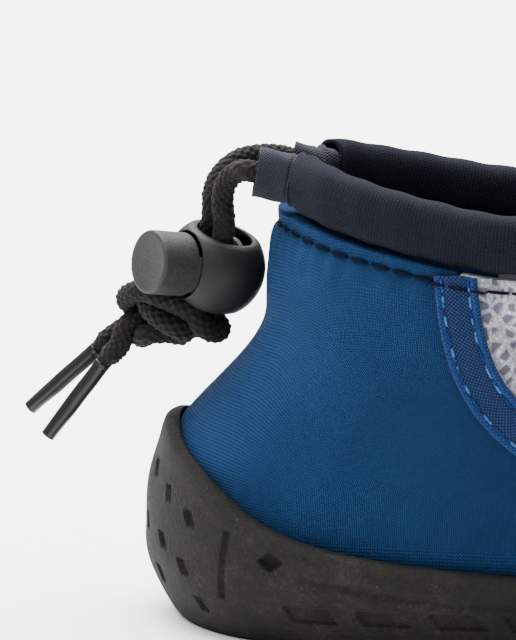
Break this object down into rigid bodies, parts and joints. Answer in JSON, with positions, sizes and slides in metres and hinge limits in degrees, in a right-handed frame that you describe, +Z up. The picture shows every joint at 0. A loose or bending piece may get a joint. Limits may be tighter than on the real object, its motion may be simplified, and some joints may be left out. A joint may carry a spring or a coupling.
{
  "type": "neoprene water shoe",
  "caption": "Low neoprene water shoe with rubber cup sole, mesh vamp, drawcord collar and a ball cord lock at the heel.",
  "frame": {"origin": "middle of the shoe's underside, on the ground, without the free cord at the heel", "axes": "+X to the toe, -Y to the outer side of this right shoe, +Z up"},
  "size_m": [0.3067, 0.0952, 0.0851],
  "materials": {
    "rubber": "matte moulded rubber with a fine grain",
    "board": "fibre board",
    "eva_foam": "closed-cell foam",
    "navy_fabric": "navy knit over thin neoprene",
    "navy_webbing": "navy woven tape",
    "blue_jersey": "blue jersey knit bonded to neoprene",
    "blue_ribbon": "blue woven binding tape",
    "grey_mesh": "open knitted mesh",
    "black_braid": "matt braided cord",
    "black_plastic": "fine spark-eroded moulded plastic",
    "button_plastic": "moulded plastic, satin",
    "spring_steel": "bright spring wire",
    "aglet_plastic": "glossy shrunk tube"
  },
  "bodies": {
    "shoe": {"outsole": "rubber", "strobel_board": "board", "footbed": "eva_foam", "footbed_cover": "navy_fabric", "heel_quarter": "blue_jersey", "vamp_mesh": "grey_mesh", "vamp_lining": "navy_fabric", "instep_gusset": "navy_fabric", "gusset_binding": "blue_ribbon", "ribbon_lateral": "blue_ribbon", "ribbon_medial": "blue_ribbon", "collar_tunnel": "navy_fabric", "tunnel_tab_lateral": "navy_webbing", "tunnel_tab_medial": "navy_webbing", "drawcord": "black_braid"},
    "toggle": {"cord_strand_lateral": "black_braid", "cord_strand_medial": "black_braid", "cord_knot": "black_braid", "cord_tail_lateral": "black_braid", "cord_tail_medial": "black_braid", "aglet_lateral": "aglet_plastic", "aglet_medial": "aglet_plastic"},
    "lock": {"lock_body": "black_plastic", "lock_spring": "spring_steel"},
    "button": {"lock_button": "button_plastic"}
  },
  "joints": [
    {"name": "toggle_swing", "type": "hinge", "parent": "shoe", "child": "toggle", "pos_m": [-0.1206, 0.00127, 0.0806], "axis": [0, 1, 0], "range_deg": [0, 55]},
    {"name": "lock_slide", "type": "slide", "parent": "toggle", "child": "lock", "axis": [0.2051, -0.2029, 0.9575], "range_m": [0, 0.0022]},
    {"name": "button_press", "type": "slide", "parent": "lock", "child": "button", "axis": [0.7326, 0.6611, -0.1621], "range_m": [0, 0.0025], "stiffness_N_per_m": 400, "deforming": ["lock_spring"]}
  ]
}
